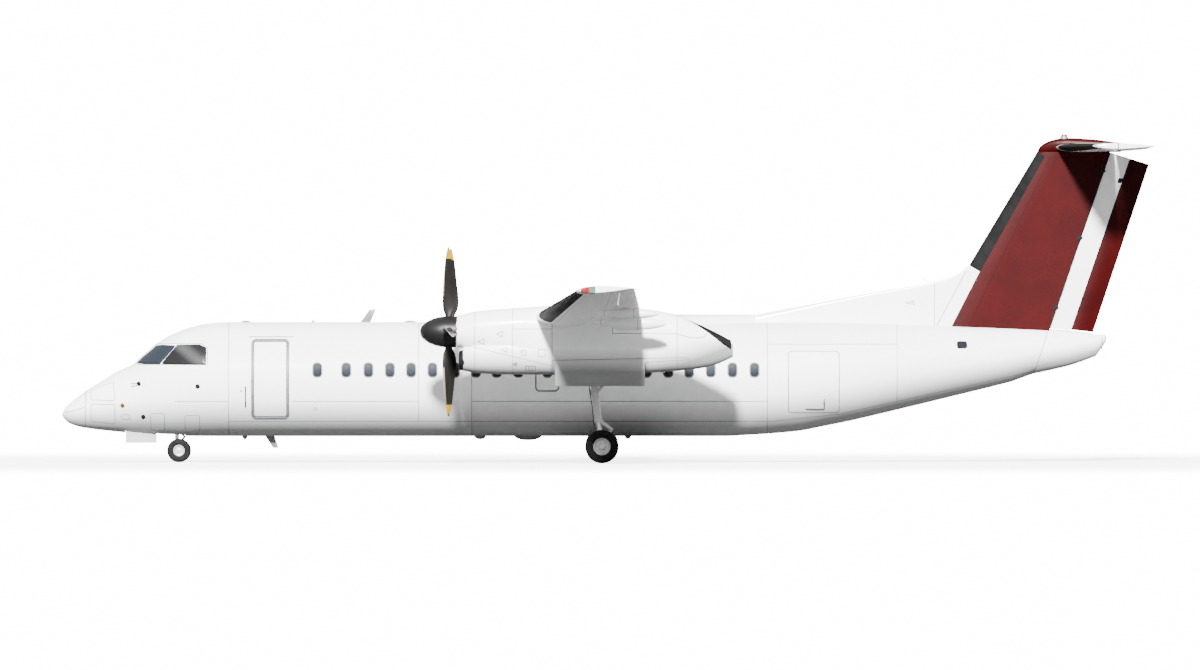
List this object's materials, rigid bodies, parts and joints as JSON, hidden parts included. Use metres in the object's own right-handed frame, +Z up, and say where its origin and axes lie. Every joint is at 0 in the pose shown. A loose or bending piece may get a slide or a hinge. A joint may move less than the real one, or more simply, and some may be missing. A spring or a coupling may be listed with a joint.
{
  "type": "twin turboprop airliner",
  "caption": "High-wing T-tail regional airliner with twin propeller engines, parked on twin-wheel gear, airstair door and working control surfaces.",
  "frame": {"origin": "on the ground under the middle of the overall length, in the plane of symmetry", "axes": "+X aft along the body, the nose points to -X; +Y to starboard along the span; +Z up"},
  "size_m": [25.66, 27.43, 7.73],
  "materials": {
    "white_paint": "gloss",
    "dark_red_paint": "gloss",
    "tinted_glass": "polished",
    "gear_steel": "satin",
    "tyre_rubber": "matte",
    "wheel_alloy": "satin",
    "exhaust_steel": "heat stained",
    "blade_paint": "satin",
    "engine_block": "plain"
  },
  "bodies": {
    "airframe": {"nose_cone": "white_paint", "fuselage_nose": "white_paint", "fuselage_front": "white_paint", "fuselage_center": "white_paint", "fuselage_rear": "white_paint", "tail_cone": "white_paint", "windshield_left": "tinted_glass", "windshield_right": "tinted_glass", "cockpit_side_window_left": "tinted_glass", "cockpit_side_window_right": "tinted_glass", "baggage_door": "white_paint", "wing_center": "white_paint", "wing_left": "white_paint", "wing_right": "white_paint", "flap_inboard_left": "white_paint", "flap_inboard_right": "white_paint", "flap_outboard_left": "white_paint", "flap_outboard_right": "white_paint", "engine_left": "engine_block", "engine_right": "engine_block", "nacelle_cowl_left": "white_paint", "nacelle_cowl_right": "white_paint", "nacelle_rear_left": "white_paint", "nacelle_rear_right": "white_paint", "exhaust_left": "exhaust_steel", "exhaust_right": "exhaust_steel", "main_gear_leg_left": "gear_steel", "main_gear_leg_right": "gear_steel", "main_gear_door_inner_left": "white_paint", "main_gear_door_inner_right": "white_paint", "main_gear_door_outer_left": "white_paint", "main_gear_door_outer_right": "white_paint", "nose_leg": "gear_steel", "nose_gear_door_left": "white_paint", "nose_gear_door_right": "white_paint", "fin": "dark_red_paint", "dorsal_fin": "white_paint", "tailplane": "white_paint"},
    "propeller_left": {"propeller_left": "blade_paint", "spinner_left": "blade_paint"},
    "propeller_right": {"propeller_right": "blade_paint", "spinner_right": "blade_paint"},
    "main_wheels_left": {"main_left_wheel_hubs": "wheel_alloy", "main_left_tyre_left": "tyre_rubber", "main_left_tyre_right": "tyre_rubber"},
    "main_wheels_right": {"main_right_wheel_hubs": "wheel_alloy", "main_right_tyre_left": "tyre_rubber", "main_right_tyre_right": "tyre_rubber"},
    "nose_fork": {"nose_fork": "gear_steel"},
    "nose_wheels": {"nose_wheel_hubs": "wheel_alloy", "nose_tyre_left": "tyre_rubber", "nose_tyre_right": "tyre_rubber"},
    "entry_door": {"entry_door": "white_paint"},
    "rudder_fore": {"rudder_fore": "white_paint"},
    "rudder_trailing": {"rudder_trailing": "dark_red_paint"},
    "elevator_left": {"elevator_left": "white_paint"},
    "elevator_right": {"elevator_right": "white_paint"},
    "aileron_left": {"aileron_left": "white_paint"},
    "aileron_right": {"aileron_right": "white_paint"}
  },
  "joints": [
    {"name": "propeller_left_spin", "type": "hinge", "parent": "airframe", "child": "propeller_left", "pos_m": [-3.7, -3.94, 3.074], "axis": [1, 0, 0], "continuous": true},
    {"name": "propeller_right_spin", "type": "hinge", "parent": "airframe", "child": "propeller_right", "pos_m": [-3.7, 3.94, 3.074], "axis": [1, 0, 0], "continuous": true},
    {"name": "main_wheels_left_roll", "type": "hinge", "parent": "airframe", "child": "main_wheels_left", "pos_m": [-0.12, -3.94, 0.39162], "axis": [0, 1, 0], "continuous": true},
    {"name": "main_wheels_right_roll", "type": "hinge", "parent": "airframe", "child": "main_wheels_right", "pos_m": [-0.12, 3.94, 0.39162], "axis": [0, 1, 0], "continuous": true},
    {"name": "nose_steering", "type": "hinge", "parent": "airframe", "child": "nose_fork", "pos_m": [-10.13, 0, 0.8], "axis": [0, 0, 1], "range_deg": [-60, 60]},
    {"name": "nose_wheels_roll", "type": "hinge", "parent": "nose_fork", "child": "nose_wheels", "pos_m": [-10.08, 0, 0.2776], "axis": [0, 1, 0], "continuous": true},
    {"name": "entry_door_hinge", "type": "hinge", "parent": "airframe", "child": "entry_door", "pos_m": [-7.915, -0.9945, 1.049], "axis": [1, 0, 0], "range_deg": [0, 115]},
    {"name": "rudder_fore_hinge", "type": "hinge", "parent": "airframe", "child": "rudder_fore", "pos_m": [10.439, 0, 3.171], "axis": [0.3265, 0, 0.9452], "range_deg": [-18, 18]},
    {"name": "rudder_trailing_hinge", "type": "hinge", "parent": "rudder_fore", "child": "rudder_trailing", "pos_m": [10.938, 0, 3.117], "axis": [0.3246, 0, 0.9459], "range_deg": [-18, 18]},
    {"name": "elevator_left_hinge", "type": "hinge", "parent": "airframe", "child": "elevator_left", "pos_m": [12.03, -0.175, 7.415], "axis": [0, 1, 0], "range_deg": [-25, 16]},
    {"name": "elevator_right_hinge", "type": "hinge", "parent": "airframe", "child": "elevator_right", "pos_m": [12.03, 0.175, 7.415], "axis": [0, 1, 0], "range_deg": [-25, 16]},
    {"name": "aileron_left_hinge", "type": "hinge", "parent": "airframe", "child": "aileron_left", "pos_m": [0.3445, -9.34, 3.762], "axis": [-0.0125, 0.9976, -0.0685], "range_deg": [-17, 17]},
    {"name": "aileron_right_hinge", "type": "hinge", "parent": "airframe", "child": "aileron_right", "pos_m": [0.3445, 9.34, 3.762], "axis": [0.0125, 0.9976, 0.0685], "range_deg": [-17, 17]}
  ],
  "couplings": [
    {"joint": "rudder_trailing_hinge", "follows": "rudder_fore_hinge", "ratio": 1},
    {"joint": "elevator_right_hinge", "follows": "elevator_left_hinge", "ratio": 1},
    {"joint": "aileron_right_hinge", "follows": "aileron_left_hinge", "ratio": -1}
  ]
}
